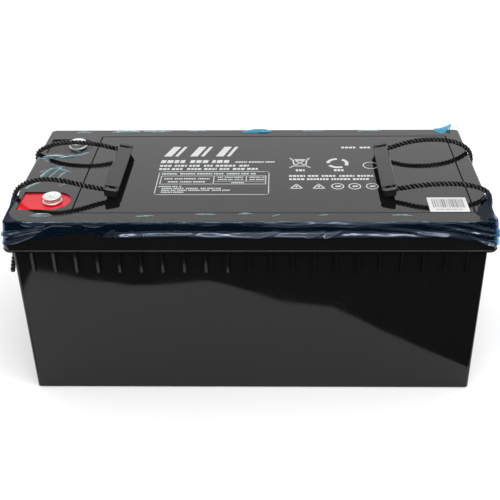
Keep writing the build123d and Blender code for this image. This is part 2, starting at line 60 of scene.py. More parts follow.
# ---- camera ----------------------------------------------------------------------------
YAW, PITCH, ROLL = -0.0202, 0.5025, -0.0109
camera = bpy.data.objects.new("camera", bpy.data.cameras.new("camera"))
bpy.context.scene.collection.objects.link(camera)
bpy.context.scene.camera = camera
camera.data.lens = 63.86
camera.data.shift_x = -0.031
camera.data.shift_y = -0.0902
turn = Matrix.Rotation(-YAW, 3, "Z") @ Matrix.Rotation(math.pi / 2 - PITCH, 3, "X")
camera.matrix_world = Matrix.Translation((0.034, -0.915, 0.6818)) @ (
    turn @ Matrix.Rotation(ROLL, 3, "Z")
).to_4x4()
camera.data.clip_start = 0.05


# ---- helpers ---------------------------------------------------------------------------
def link(name, mesh, material, smooth=True):
    """A new object for a finished mesh."""
    obj = bpy.data.objects.new(name, mesh)
    bpy.context.scene.collection.objects.link(obj)
    mesh.materials.append(material)
    if smooth:
        mesh.shade_smooth()
    return obj


def mesh_of(name, points, faces, uv=None):
    """A mesh, with a flow map where uv holds one pair for each point."""
    mesh = bpy.data.meshes.new(name)
    mesh.from_pydata([tuple(p) for p in points], [], faces)
    if uv is not None:
        layer = mesh.uv_layers.new(name="flow")
        loops = np.zeros(len(mesh.loops), np.int32)
        mesh.loops.foreach_get("vertex_index", loops)
        layer.data.foreach_set("uv", np.asarray(uv, np.float32)[loops].ravel())
    mesh.update()
    return mesh


def smoothstep(low, high, x):
    """0 below low, 1 above high and smooth in between."""
    t = np.clip((x - low) / (high - low), 0.0, 1.0)
    return t * t * (3 - 2 * t)


# ---- materials -------------------------------------------------------------------------
class Shader:
    """A node material round one Principled shader."""

    def __init__(self, name, **values):
        self.material = bpy.data.materials.new(name)
        self.material.use_nodes = True
        self.tree = self.material.node_tree
        self.bsdf = self.tree.nodes["Principled BSDF"]
        for key, value in values.items():
            self.bsdf.inputs[key.replace("_", " ")].default_value = value
        self.place = self.node("ShaderNodeTexCoord").outputs["Object"]

    def node(self, kind, **settings):
        made = self.tree.nodes.new(kind)
        for key, value in settings.items():
            setattr(made, key, value)
        return made

    def join(self, source, target):
        self.tree.links.new(source, target)

    def stretched(self, scale):
        """Object coordinates, scaled."""
        mapping = self.node("ShaderNodeMapping")
        mapping.inputs["Scale"].default_value = scale
        self.join(self.place, mapping.inputs["Vector"])
        return mapping.outputs["Vector"]

    def noise(self, size, detail=3.0, rough=0.55, vector=None):
        """Noise with features about size metres across."""
        made = self.node("ShaderNodeTexNoise")
        made.inputs["Scale"].default_value = 1 / size
        made.inputs["Detail"].default_value = detail
        made.inputs["Roughness"].default_value = rough
        self.join(vector or self.place, made.inputs["Vector"])
        return made.outputs["Fac"]

    def ramp(self, source, low, high, out_low=0.0, out_high=1.0):
        made = self.node("ShaderNodeMapRange", interpolation_type="SMOOTHSTEP")
        for key, value in zip(
            ("From Min", "From Max", "To Min", "To Max"), (low, high, out_low, out_high)
        ):
            made.inputs[key].default_value = value
        self.join(source, made.inputs["Value"])
        return made.outputs["Result"]

    def math(self, kind, a, b=0.0):
        """One operation on one or two values, each a number or a socket."""
        made = self.node("ShaderNodeMath", operation=kind)
        for value, socket in zip((a, b), made.inputs):
            if isinstance(value, (int, float)):
                socket.default_value = value
            else:
                self.join(value, socket)
        return made.outputs[0]

    def colour(self, source, first, second):
        made = self.node("ShaderNodeMix", data_type="RGBA")
        made.inputs["A"].default_value = (*first, 1)
        made.inputs["B"].default_value = (*second, 1)
        self.join(source, made.inputs["Factor"])
        self.join(made.outputs["Result"], self.bsdf.inputs["Base Color"])

    def roughness(self, source):
        self.join(source, self.bsdf.inputs["Roughness"])

    def bump(self, height, depth, before=None):
        """Bump whose full height is depth metres."""
        made = self.node("ShaderNodeBump")
        made.inputs["Strength"].default_value = 1.0
        made.inputs["Distance"].default_value = depth
        self.join(height, made.inputs["Height"])
        if before is not None:
            self.join(before, made.inputs["Normal"])
        self.join(made.outputs["Normal"], self.bsdf.inputs["Normal"])
        return made.outputs["Normal"]


def moulded_plastic(name, ior):
    """Glossy black ABS: faint waves from moulding, specks of dust and smears."""
    s = Shader(name, IOR=ior)
    dust = s.ramp(s.noise(0.0011, 2.0), 0.66, 0.80)
    patch = s.ramp(s.noise(0.06, 4.0), 0.42, 0.72)
    specks = s.math("MULTIPLY", dust, patch)
    smear = s.ramp(s.noise(0.045, 5.0, 0.62, s.stretched((1, 1, 0.6))), 0.50, 0.74)
    s.colour(s.math("MULTIPLY", specks, 0.55), (0.0046, 0.0046, 0.0045), (0.14, 0.138, 0.13))
    base = s.ramp(s.noise(0.12, 3.0), 0.3, 0.7, 0.045, 0.085)
    fine = s.math("MULTIPLY", smear, 0.06)
    s.roughness(s.math("ADD", s.math("ADD", base, fine), s.math("MULTIPLY", specks, 0.3)))
    waves = s.bump(s.noise(0.085, 1.0, 0.4), 0.00035)
    s.bump(s.noise(0.0009, 2.0), 0.0000035, waves)
    return s.material


def rubber():
    s = Shader("rubber", IOR=1.5)
    s.colour(s.noise(0.002), (0.018, 0.018, 0.018), (0.035, 0.034, 0.033))
    s.roughness(s.ramp(s.noise(0.004), 0.3, 0.7, 0.55, 0.72))
    s.bump(s.noise(0.0004), 0.00002)
    return s.material


def valve_pad():
    s = Shader("valve_pad", Roughness=0.95, Sheen_Weight=0.3)
    s.colour(s.noise(0.0012, 6.0), (0.62, 0.60, 0.55), (0.80, 0.79, 0.75))
    s.bump(s.noise(0.0005, 6.0), 0.00015)
    return s.material


def lead():
    s = Shader("lead", Metallic=0.9)
    s.colour(s.noise(0.01, 5.0), (0.20, 0.21, 0.23), (0.38, 0.39, 0.42))
    s.roughness(s.ramp(s.noise(0.006), 0.3, 0.7, 0.45, 0.7))
    s.bump(s.noise(0.0015, 4.0), 0.00008)
    return s.material


def separator():
    s = Shader("separator", Roughness=0.85)
    s.colour(s.noise(0.008, 5.0), (0.70, 0.67, 0.58), (0.84, 0.82, 0.76))
    s.bump(s.noise(0.0006, 4.0), 0.00008)
    return s.material


def terminal_metal():
    s = Shader("terminal_metal", Metallic=1.0)
    s.colour(s.noise(0.004, 4.0), (0.62, 0.60, 0.55), (0.78, 0.76, 0.72))
    s.roughness(s.ramp(s.noise(0.002), 0.3, 0.7, 0.22, 0.4))
    s.bump(s.noise(0.0005), 0.00001)
    return s.material


def epoxy(name, deep, light, gloss):
    """Cast resin, with a few trapped bubbles and a surface that isn't quite flat."""
    s = Shader(name, IOR=1.3, Coat_Weight=0.08, Coat_Roughness=0.04)
    s.colour(s.noise(0.009, 3.0), deep, light)
    s.roughness(s.ramp(s.noise(0.012), 0.3, 0.7, gloss, gloss + 0.1))
    cells = s.node("ShaderNodeTexVoronoi", feature="F1")
    cells.inputs["Scale"].default_value = 1 / 0.0035
    s.join(s.place, cells.inputs["Vector"])
    bubbles = s.bump(s.ramp(cells.outputs["Distance"], 0.05, 0.16), 0.00004)
    s.bump(s.noise(0.014, 1.0), 0.00025, bubbles)
    return s.material


def plated_steel():
    """Bright zinc: nearly white, with a fine turned grain."""
    s = Shader("plated_steel", Metallic=1.0)
    s.colour(s.noise(0.003, 5.0), (0.78, 0.78, 0.76), (0.93, 0.93, 0.92))
    s.roughness(s.ramp(s.noise(0.0015), 0.3, 0.7, 0.30, 0.46))
    s.bump(s.noise(0.0004, 3.0), 0.000012)
    return s.material


def grip_plastic():
    """Moulded plastic, smooth on top and matt on its sides."""
    s = Shader("grip_plastic", IOR=1.46)
    dust = s.ramp(s.noise(0.0008, 2.0), 0.68, 0.80)
    s.colour(s.math("MULTIPLY", dust, 0.5), (0.0045, 0.0045, 0.0045), (0.12, 0.12, 0.12))
    facing = s.node("ShaderNodeSeparateXYZ")
    s.join(s.node("ShaderNodeTexCoord").outputs["Normal"], facing.inputs["Vector"])
    matt_sides = s.ramp(facing.outputs["Z"], 0.15, 0.75, 0.8, 0.0)
    s.roughness(s.math("ADD", s.ramp(s.noise(0.01, 4.0), 0.3, 0.7, 0.10, 0.19), matt_sides))
    waves = s.bump(s.noise(0.02, 1.0), 0.00006)
    s.bump(s.noise(0.0006, 3.0), 0.000008, waves)
    return s.material


def rope_fibre():
    """Polypropylene yarn: fine filaments along each strand's twist, and a painted highlight,
    patchy, along each strand's crest.
    """
    s = Shader("rope_fibre", IOR=1.25)
    flow = s.node("ShaderNodeUVMap", uv_map="flow").outputs["UV"]
    wave = s.node("ShaderNodeTexWave", wave_type="BANDS", bands_direction="DIAGONAL")
    wave.inputs["Scale"].default_value = 3.2
    wave.inputs["Distortion"].default_value = 1.6
    wave.inputs["Detail"].default_value = 2.0
    s.join(flow, wave.inputs["Vector"])
    across = s.node("ShaderNodeSeparateXYZ")
    s.join(flow, across.inputs["Vector"])
    crest = s.math("COSINE", s.math("MULTIPLY", across.outputs["Y"], 1 / AROUND))
    # Painted highlight: each strand's outer crest is made lighter in colour where light would
    # catch it, broken into patches by noise; the rest of the strand stays near black.
    crest_patches = s.ramp(s.noise(0.004, 3.0), 0.25, 0.6)
    crest_highlight = s.math("MULTIPLY", s.ramp(crest, 0.72, 0.97), crest_patches)
    s.colour(crest_highlight, (0.0008, 0.0008, 0.0008), (0.20, 0.195, 0.185))
    s.roughness(s.ramp(s.noise(0.002, 3.0), 0.3, 0.7, 0.26, 0.42))
    yarn = s.bump(wave.outputs["Fac"], 0.00022)
    s.bump(s.noise(0.0004, 4.0), 0.00005, yarn)
    return s.material


def blue_film(name, first, second, metallic, crinkle, clear=0.985, coat=1.0):
    """Thin coloured polythene: it tints what is behind it and shines along its creases."""
    s = Shader(
        name,
        IOR=1.04,
        Metallic=metallic,
        Transmission_Weight=clear,
        Coat_Weight=coat,
        Coat_Roughness=0.05,
    )
    s.bsdf.inputs["Coat IOR"].default_value = 1.5
    s.colour(s.noise(0.03, 4.0), first, second)
    s.roughness(s.ramp(s.noise(0.01), 0.3, 0.7, 0.06, 0.18))
    s.bump(s.noise(0.004, 4.0, 0.6, s.stretched((0.35, 1, 1))), crinkle)
    return s.material


def paper():
    s = Shader("label_paper", Specular_IOR_Level=0.4)
    s.colour(s.noise(0.006, 4.0), (0.56, 0.56, 0.555), (0.63, 0.63, 0.63))
    s.roughness(s.ramp(s.noise(0.003), 0.3, 0.7, 0.38, 0.5))
    s.bump(s.noise(0.0006, 4.0), 0.000012)
    return s.material


def ink(name, first, second, rough):
    """Screen-printed ink, a little uneven."""
    s = Shader(name)
    s.colour(s.noise(0.0025, 5.0), first, second)
    s.roughness(s.ramp(s.noise(0.002), 0.3, 0.7, rough, rough + 0.15))
    s.bump(s.noise(0.0005, 4.0), 0.00001)
    return s.material


MATERIALS = {
    "case_plastic": moulded_plastic("case_plastic", 1.5),
    "rubber": rubber(),
    "valve_pad": valve_pad(),
    "lead": lead(),
    "separator": separator(),
    "terminal_metal": terminal_metal(),
    "red_epoxy": epoxy("red_epoxy", (0.55, 0.006, 0.014), (0.72, 0.010, 0.022), 0.08),
    "black_epoxy": epoxy("black_epoxy", (0.010, 0.010, 0.010), (0.02, 0.02, 0.02), 0.08),
    "plated_steel": plated_steel(),
    "grip_plastic": grip_plastic(),
    "rope": rope_fibre(),
    "film": blue_film("blue_film", (0.05, 0.18, 0.42), (0.09, 0.28, 0.56), 0.045, 0.00022),
    "label_paper": paper(),
}
for subpart in frame["record"]["subparts"]:
    node = frame["nodes"][subpart["node"]]
    node.data.materials.clear()
    node.data.materials.append(MATERIALS[subpart["material_slot"]])
# The container is a duller moulding than the lid.
container = frame["nodes"]["container"]
container.data.materials.clear()
container.data.materials.append(moulded_plastic("container_plastic", 1.37))
# Small radii on the grips' edges, which catch the light.
for side_name in ("left", "right"):
    bevel = frame["nodes"][f"{side_name}_grip"].modifiers.new("edges", "BEVEL")
    bevel.width = 0.8 * MM
    bevel.segments = 3
    bevel.limit_method = "ANGLE"
    bevel.angle_limit = math.radians(40)

# ---- ropes -----------------------------------------------------------------------------
ROPE_R = 3.0 * MM
LAY = 13.5 * MM  # length of one full turn of a strand
STRANDS = 3
RING = 14
ROPE_STEP = 0.9 * MM  # between rings along the rope
FLOW = 2.2 * MM  # the flow map's unit along the rope
OFF_CENTRE, STRAND_R = 0.54 * ROPE_R, 0.46 * ROPE_R

# Half a rope in mm, from inside the ear up to the inside of the grip: distance from the
# middle of the lid, place along Y, height.
HALVES = {
    "left_rear": [
        (258.8, 54.0, 186.0), (259.0, 54.0, 195.0), (262.0, 53.5, 204.0), (262.4, 53.0, 213.0),
        (260.6, 51.5, 224.0), (248.0, 50.0, 232.0), (229.0, 48.5, 237.8), (206.0, 46.5, 239.0),
        (184.0, 44.5, 237.4), (168.0, 43.4, 233.4), (157.0, 43.0, 231.0),
    ],
    "left_front": [
        (258.8, -54.0, 186.0), (259.0, -54.0, 195.0), (261.8, -54.6, 204.5), (262.0, -55.4, 213.5),
        (259.4, -57.0, 227.0), (248.0, -59.0, 238.0), (228.0, -60.2, 244.9), (205.0, -61.0, 243.5),
        (183.0, -61.5, 237.6), (168.0, -60.0, 233.2), (157.0, -59.0, 231.0),
    ],
    "right_rear": [
        (258.8, 54.0, 186.0), (259.0, 54.0, 195.0), (262.6, 54.0, 204.5), (263.0, 54.2, 213.0),
        (259.8, 54.0, 224.0), (247.5, 53.0, 233.4), (229.0, 51.0, 239.0), (206.0, 48.5, 240.6),
        (184.0, 46.0, 238.6), (168.0, 44.0, 233.6), (157.0, 43.0, 231.0),
    ],
    "right_front": [
        (258.8, -54.0, 186.0), (259.0, -54.0, 195.0), (262.2, -54.4, 204.5), (262.8, -55.4, 213.5),
        (260.6, -57.4, 225.4), (248.0, -59.6, 233.4), (228.0, -60.8, 238.0), (205.0, -61.6, 238.4),
        (183.0, -61.2, 236.4), (168.0, -60.0, 232.8), (157.0, -59.0, 231.0),
    ],
}
GRIP_X, GRIP_Z = 152.0, 230.0
CHANNEL_REAR_Y, CHANNEL_FRONT_Y = 37.5, -53.5

# Below each ear, from the knot down: out from the case, along Y and up from the knot.
KNOT = (259.2, 54.0, 182.0)
TAILS = {
    "left_front": [(3.5, -5.0, -16.0), (10.5, -10.0, -32.0), (14.0, -13.0, -53.0)],
    "left_rear": [(2.0, 4.0, -13.0), (3.0, 9.0, -26.0), (2.0, 12.0, -37.0)],
    "right_front": [(1.0, 3.5, -12.0), (1.5, 8.0, -22.0), (0.5, 11.0, -31.0)],
    "right_rear": [(3.0, 3.0, -12.0), (4.0, 8.0, -24.0), (3.0, 11.0, -36.0)],
}
# An overhand knot, pulled tight: out, along Y and up from its middle.
OVERHAND = [
    (-0.4, 0.0, 9.5), (-0.4, 0.0, 7.0), (-2.6, 0.8, 4.0), (-3.0, 4.0, -0.5), (0.4, 4.6, -4.2),
    (4.4, 0.4, -3.6), (4.0, -4.2, 0.2), (0.6, -4.4, 4.0), (-2.6, -2.2, 3.2), (-1.6, 1.0, 0.0),
    (0.4, 1.0, -4.0),
]


def spline_points(route, step):
    """Evenly spaced points on the NURBS spline with this route as its control points."""
    curve = bpy.data.curves.new("route", "CURVE")
    curve.dimensions = "3D"
    curve.resolution_u = 24
    spline = curve.splines.new("NURBS")
    spline.points.add(len(route) - 1)
    for point, place in zip(spline.points, route):
        point.co = (*place, 1.0)
    spline.order_u = 3
    spline.use_endpoint_u = True
    holder = bpy.data.objects.new("route", curve)
    bpy.context.scene.collection.objects.link(holder)
    bpy.context.view_layer.update()
    mesh = bpy.data.meshes.new_from_object(holder)
    raw = np.array([v.co for v in mesh.vertices], float)
    bpy.data.objects.remove(holder)
    bpy.data.curves.remove(curve)
    bpy.data.meshes.remove(mesh)
    along = np.concatenate([[0], np.cumsum(np.linalg.norm(np.diff(raw, axis=0), axis=1))])
    even = np.linspace(0, along[-1], max(2, round(along[-1] / step)) + 1)
    return np.stack([np.interp(even, along, raw[:, k]) for k in range(3)], axis=1)


def steady_frames(line):
    """Tangent and two cross directions at each point, turning as little as they can."""
    tangents = np.gradient(line, axis=0)
    tangents /= np.linalg.norm(tangents, axis=1)[:, None]
    side = np.cross(tangents[0], (0.3, 0.2, 0.9))
    first = []
    for tangent in tangents:
        side = side - tangent * (side @ tangent)
        side = side / np.linalg.norm(side)
        first.append(side)
    first = np.array(first)
    return tangents, first, np.cross(tangents, first)


def laid_rope(name, route, phase=0.0):
    """Three strands laid round the route's spline, as one mesh, and the line they follow."""
    line = spline_points(route, ROPE_STEP)
    _, across, up = steady_frames(line)
    count = len(line)
    run = np.arange(count) * np.linalg.norm(line[1] - line[0])
    ring = np.arange(RING) * 2 * math.pi / RING - math.pi
    points, faces, uv = [], [], []
    for strand in range(STRANDS):
        turn = phase + 2 * math.pi * (run / LAY + strand / STRANDS)
        out = across * np.cos(turn)[:, None] + up * np.sin(turn)[:, None]
        tangential = up * np.cos(turn)[:, None] - across * np.sin(turn)[:, None]
        start = len(points)
        # The strand's ends draw in, where the cut rope is melted together.
        taper = np.minimum(1, np.minimum(np.arange(count), np.arange(count)[::-1]) / 2.0)
        taper = 0.55 + 0.45 * np.sqrt(taper)
        for k in range(count):
            centre = line[k] + out[k] * OFF_CENTRE * taper[k]
            for angle in ring:
                lobe = 1 + 0.035 * math.cos(6 * angle - 900 * run[k])
                points.append(
                    centre
                    + out[k] * STRAND_R * taper[k] * lobe * math.cos(angle)
                    + tangential[k] * STRAND_R * taper[k] * lobe * math.sin(angle)
                )
                uv.append((run[k] / FLOW, angle * AROUND))
        for k in range(count - 1):
            for j in range(RING):
                a, b = start + k * RING + j, start + k * RING + (j + 1) % RING
                faces.append((a, b, b + RING, a + RING))
        faces.append([start + j for j in range(RING)][::-1])
        faces.append([start + (count - 1) * RING + j for j in range(RING)])
    return mesh_of(name, points, faces, uv), line


def placed(side, points):
    """Points of the right side, or their mirror images, in metres."""
    return [(side * x * MM, y * MM, z * MM) for x, y, z in points]


for side_name, side in (("left", -1), ("right", 1)):
    rear, front = HALVES[f"{side_name}_rear"], HALVES[f"{side_name}_front"]
    channel = [(GRIP_X, CHANNEL_REAR_Y, GRIP_Z), (GRIP_X, CHANNEL_FRONT_Y, GRIP_Z)]
    mesh, line = laid_rope(f"{side_name}_rope_strands", placed(side, rear + channel + front[::-1]))
    rope = link(f"{side_name}_rope_strands", mesh, MATERIALS["rope"])
    for end_name, end in (("front", -1), ("rear", 1)):
        key = f"{side_name}_{end_name}"
        route = [
            (KNOT[0] + out, end * KNOT[1] + along, KNOT[2] + up)
            for out, along, up in OVERHAND + TAILS[key]
        ]
        end_mesh, _ = laid_rope(f"{key}_knot_strands", placed(side, route), phase=1.0)
        knot = link(f"{key}_knot_strands", end_mesh, MATERIALS["rope"])
        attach(knot, "root")
        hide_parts(f"{key}_rope_end")
    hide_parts(f"{side_name}_rope")
    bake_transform(rope)

# ---- blue film round the lid's skirt ---------------------------------------------------
HALF_X, HALF_Y = 261.0, 122.0
LID_TOP = 223.0
LID_CORNER = 8.0
# The skirt leans in by DRAFT from this height to the lid's top.
DRAFT, DRAFT_FOOT = 4.0, 195.0
STRAIGHT_X = HALF_X - LID_CORNER
STRAIGHT_Y = 2 * (HALF_Y - LID_CORNER)
ARC = math.pi / 2 * LID_CORNER
OUTLINE = 4 * STRAIGHT_X + 2 * STRAIGHT_Y + 4 * ARC
# The lid's outline, from the middle of the front side towards +X. A straight leg has its
# length, start and direction, a corner its length, middle and first angle.
LEGS = [
    (STRAIGHT_X, (0, -HALF_Y), (1, 0), None),
    (ARC, (STRAIGHT_X, -HALF_Y + LID_CORNER), None, -90),
    (STRAIGHT_Y, (HALF_X, -HALF_Y + LID_CORNER), (0, 1), None),
    (ARC, (STRAIGHT_X, HALF_Y - LID_CORNER), None, 0),
    (2 * STRAIGHT_X, (STRAIGHT_X, HALF_Y), (-1, 0), None),
    (ARC, (-STRAIGHT_X, HALF_Y - LID_CORNER), None, 90),
    (STRAIGHT_Y, (-HALF_X, HALF_Y - LID_CORNER), (0, -1), None),
    (ARC, (-STRAIGHT_X, -HALF_Y + LID_CORNER), None, 180),
    (STRAIGHT_X, (-STRAIGHT_X, -HALF_Y), (1, 0), None),
]


def rim_point(u):
    """Point and outward direction at distance u along the lid's outline, in mm."""
    leg = 0
    while leg < len(LEGS) - 1 and u > LEGS[leg][0]:
        u -= LEGS[leg][0]
        leg += 1
    _, start, way, angle = LEGS[leg]
    if way:
        return (start[0] + way[0] * u, start[1] + way[1] * u), (way[1], -way[0])
    turn = math.radians(angle) + u / LID_CORNER
    normal = (math.cos(turn), math.sin(turn))
    return (start[0] + LID_CORNER * normal[0], start[1] + LID_CORNER * normal[1]), normal


def wrinkle(u, w, seed):
    """0 to 1, with sharp ridges that mostly run along the film."""
    total = 0.0
    for scale_u, scale_w, skew, weight in (
        (70, 9, 0.10, 0.55),
        (34, 6, -0.22, 0.30),
        (16, 4, 0.35, 0.15),
    ):
        value = noise.noise(Vector((u / scale_u, (w + skew * u) / scale_w, seed + scale_u)))
        total += weight * (1 - abs(value) * 2.2)
    return max(0.0, total)


def corner_share(x, y):
    """1 at the lid's corners, falling to 0 about 60 mm from them."""
    near = math.hypot(HALF_X - abs(x), HALF_Y - abs(y))
    return max(0.0, 1 - near / 60) ** 1.5


# Creases pulled in the front of the film: from x, z to x, z, then height and half width.
FRONT_CREASES = [
    (-262, 226, -244, 224, 1.8, 3.0), (-244, 224, -222, 219, 1.5, 2.6),
    (-222, 219, -209, 221.5, 1.1, 2.2), (-209, 221.5, -186, 220, 0.7, 2.0),
    (-262, 208, -240, 211, 2.2, 3.2), (-240, 211, -218, 215, 1.6, 2.8),
    (-218, 215, -208, 220, 1.0, 2.0), (-262, 197, -248, 201, 1.6, 2.6),
    (-248, 201, -226, 209, 1.3, 2.4), (-161, 200, -151, 205, 1.1, 1.8),
    (-151, 205, -142, 212, 1.4, 2.2), (-171, 221, -161, 219, 0.6, 1.8),
    (-161, 219, -151, 221, 0.6, 1.8), (96, 219, 132, 217, 0.8, 2.2),
    (132, 217, 168, 213, 1.0, 2.4), (168, 213, 206, 208, 1.2, 2.4),
    (178, 222, 206, 217, 1.1, 2.2), (206, 217, 232, 211, 1.6, 2.6),
    (232, 211, 263, 207, 2.2, 3.0), (218, 221, 239, 216, 1.2, 2.0),
    (239, 216, 263, 211, 1.8, 2.6), (228, 208, 243, 201, 1.4, 2.2),
    (243, 201, 263, 195, 2.0, 2.6), (6, 207, 30, 212, 1.3, 1.7),
    (60, 207, 78, 212, 1.4, 1.7), (80, 207, 97, 213, 1.4, 1.7),
    (-108, 209, -60, 210, 0.7, 1.6), (-48, 221, -22, 222, 0.9, 1.6),
    (-22, 222, 6, 221, 0.9, 1.6), (16, 221.2, 44, 219.6, 1.6, 2.2),
    (44, 219.6, 78, 221.4, 1.7, 2.3), (70, 221.4, 118, 220, 1.7, 2.3),
    (118, 220, 150, 221.6, 1.5, 2.2),
]


def crease_height(x, z):
    """How far the nearest of the front's pulled creases stands out at this place."""
    total = 0.0
    for x0, z0, x1, z1, height, half in FRONT_CREASES:
        run, rise = x1 - x0, z1 - z0
        along = ((x - x0) * run + (z - z0) * rise) / (run * run + rise * rise)
        along = min(1.0, max(0.0, along))
        away = math.hypot(x - x0 - along * run, z - z0 - along * rise)
        total = max(total, height * max(0.0, 1 - away / half) ** 1.3)
    return total


def front_relief(u, x, y, z, low):
    """Lift of the front: a flared hem with a dark hollow above it, and the pulled creases.

    By the front rope notches the film has come away and stands off the lid's edge.
    """
    slow = noise.noise(Vector((u / 60, 2.2, 0.0)))
    sway = noise.noise(Vector((u / 26, 5.5, 0.0)))
    flare = float(smoothstep(-148, -128, x) * (1 - 0.75 * smoothstep(190, 250, x)))
    hem = (2.9 + 1.3 * sway) * (1 - float(smoothstep(low, low + 5.2 + 1.4 * slow, z)))
    roll = 0.6 * float(smoothstep(216, 223, z)) * (1 + noise.noise(Vector((u / 20, 8.8, 0.0))))
    loose = float(smoothstep(-90, -64, y) * smoothstep(206, 222, z)) * (6.5 if x > 0 else 4.0)
    bulge = 1.6 * float(smoothstep(250, 259, x) * smoothstep(-100, -112, y))
    fine = 0.10 * noise.noise(Vector((u / 9, z / 2.2, 3.0)))
    return 0.5 + flare * hem + roll + loose + bulge + crease_height(x, z) + fine


def other_relief(u, x, y, z, low):
    """Lift of the rear and the ends: shallow creases, and close to the lid at the top."""
    crease = 1.5 * wrinkle(u, z - low, 8.0) * (0.5 + corner_share(x, y))
    return 0.2 + min(crease, 0.22 * (LID_TOP - z))


FILM_STEP = 1.4  # mm between columns of the film's mesh


def film_band(u0, u1, bottom, top, fold, relief):
    """A strip of film from u0 to u1 along the outline, turned in at its top edge."""
    columns = int((u1 - u0) / FILM_STEP)
    rows_up, rows_in = 20, 8
    points, faces, uv = [], [], []
    for i in range(columns + 1):
        u = u0 + (u1 - u0) * i / columns
        (cx, cy), (nx, ny) = rim_point(u % OUTLINE)
        low = bottom(u, cx, cy)
        wide = fold(u, cx, cy)
        for j in range(rows_up + rows_in + 1):
            if j <= rows_up:
                z = low + (top - low) * j / rows_up
                inset = DRAFT * max(0.0, (z - DRAFT_FOOT) / (LID_TOP - DRAFT_FOOT))
                w = z - low
                lift = max(0.2, relief(u, cx, cy, z, low))
            else:
                reach = wide * (j - rows_up) / rows_in
                z, inset, w = top, DRAFT + reach, top - low + reach
                top_lift = relief(u, cx, cy, top - 1, low)
                bump = 0.7 * wrinkle(u * 1.3, reach * 2, 21.0)
                lift = (top_lift * (1 - reach / wide) + bump) * 0.8 * (1 - 0.7 * reach / wide)
            x, y = cx - nx * inset, cy - ny * inset
            if j <= rows_up:
                shoulder = float(smoothstep(rows_up - 4, rows_up, j))
                x += nx * lift * (1 - 0.4 * shoulder)
                y += ny * lift * (1 - 0.4 * shoulder)
                z += 0.6 * shoulder * lift
            else:
                z += max(0.02, lift) + 0.05
            points.append((x * MM, y * MM, z * MM))
            uv.append((u / 10, w / 10))
    stride = rows_up + rows_in + 1
    for i in range(columns):
        for j in range(stride - 1):
            a = i * stride + j
            faces.append((a, a + stride, a + stride + 1, a + 1))
    return points, faces, uv


# Distances along the outline of the four rope notches, from the middle of the front.
RIGHT = STRAIGHT_X + ARC + STRAIGHT_Y / 2  # middle of the right end
LEFT = OUTLINE - RIGHT
NOTCH, HALF_NOTCH = 54.0, 8.5


def front_bottom(u, x, y):
    drop = 9.0 * float(smoothstep(-205, -258, x)) + 10.0 * float(smoothstep(205, 260, x))
    drop -= 3.0 * float(smoothstep(-150, -170, x) * smoothstep(-205, -190, x))
    return 207.6 - drop + 0.8 * noise.noise(Vector((u / 55, 3.1, 0.0)))


def front_fold(u, x, y):
    """The film laps onto the lid's corners: a long way on the right, a little on the left."""
    wave = 1.6 + 1.6 * noise.noise(Vector((u / 38, 7.7, 0.0)))
    if x > 0:
        lap = 13.0 * float(smoothstep(-60, -96, y)) + 4.0 * noise.noise(Vector((y / 9, 4.4, 0.0)))
        return max(0.8, wave + (3.0 + lap) * float(smoothstep(238, 255, x)))
    lap = 8.0 * float(smoothstep(-96, -114, y)) + 1.5 * noise.noise(Vector((y / 9, 2.4, 0.0)))
    return max(0.8, wave + (1.0 + lap) * float(smoothstep(-236, -255, x)))


def rear_bottom(u, x, y):
    return 206.5 + 1.5 * noise.noise(Vector((u / 40, 9.1, 0.0)))


def turned_edge(u, x, y):
    return 0.2


REAR_TOP = LID_TOP - 1.6
BANDS = [
    (LEFT + NOTCH + HALF_NOTCH - OUTLINE, RIGHT - NOTCH - HALF_NOTCH,
     front_bottom, LID_TOP, front_fold, front_relief),
    (RIGHT - NOTCH + HALF_NOTCH, RIGHT + NOTCH - HALF_NOTCH,
     rear_bottom, REAR_TOP, turned_edge, other_relief),
    (RIGHT + NOTCH + HALF_NOTCH, LEFT - NOTCH - HALF_NOTCH,
     rear_bottom, REAR_TOP, turned_edge, other_relief),
    (LEFT - NOTCH + HALF_NOTCH, LEFT + NOTCH - HALF_NOTCH,
     rear_bottom, REAR_TOP, turned_edge, other_relief),
]
folded_film = blue_film(
    "folded_film", (0.003, 0.02, 0.07), (0.006, 0.04, 0.13), 0.03, 0.00022, 0.97, 0.22
)
corner_film = blue_film(
    "corner_film", (0.006, 0.06, 0.20), (0.02, 0.19, 0.44), 0.04, 0.00025, 0.6, 0.9
)
azure_film = blue_film(
    "azure_film", (0.015, 0.18, 0.32), (0.045, 0.35, 0.50), 0.05, 0.00025, 0.2, 0.7
)
film_points, film_faces, film_uv = [], [], []
for band in BANDS:
    points, faces, uv = film_band(*band)
    start = len(film_points)
    film_points += points
    film_faces += [tuple(start + k for k in face) for face in faces]
    film_uv += uv
film = link(
    "film_band", mesh_of("film_band", film_points, film_faces, film_uv), MATERIALS["film"]
)
# The film is double where it laps onto the lid's corners and beside the front notches, and
# the loose bulge at the right corner is lit through.
film.data.materials.append(folded_film)
film.data.materials.append(corner_film)
for face in film.data.polygons:
    x, y, z = (c / MM for c in face.center)
    by_notch = -100 < y < -40 and z > 204
    if abs(x) > 236 and (by_notch or z > LID_TOP - 0.4):
        face.material_index = 1
    if x > 256 and y < -106 and z > 200:
        face.material_index = 2
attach(film, "root")
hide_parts("protective_film")


# ---- torn scraps of film left on the lid -----------------------------------------------
thin_film = blue_film("thin_film", (0.16, 0.62, 0.76), (0.42, 0.84, 0.92), 0.10, 0.00010)


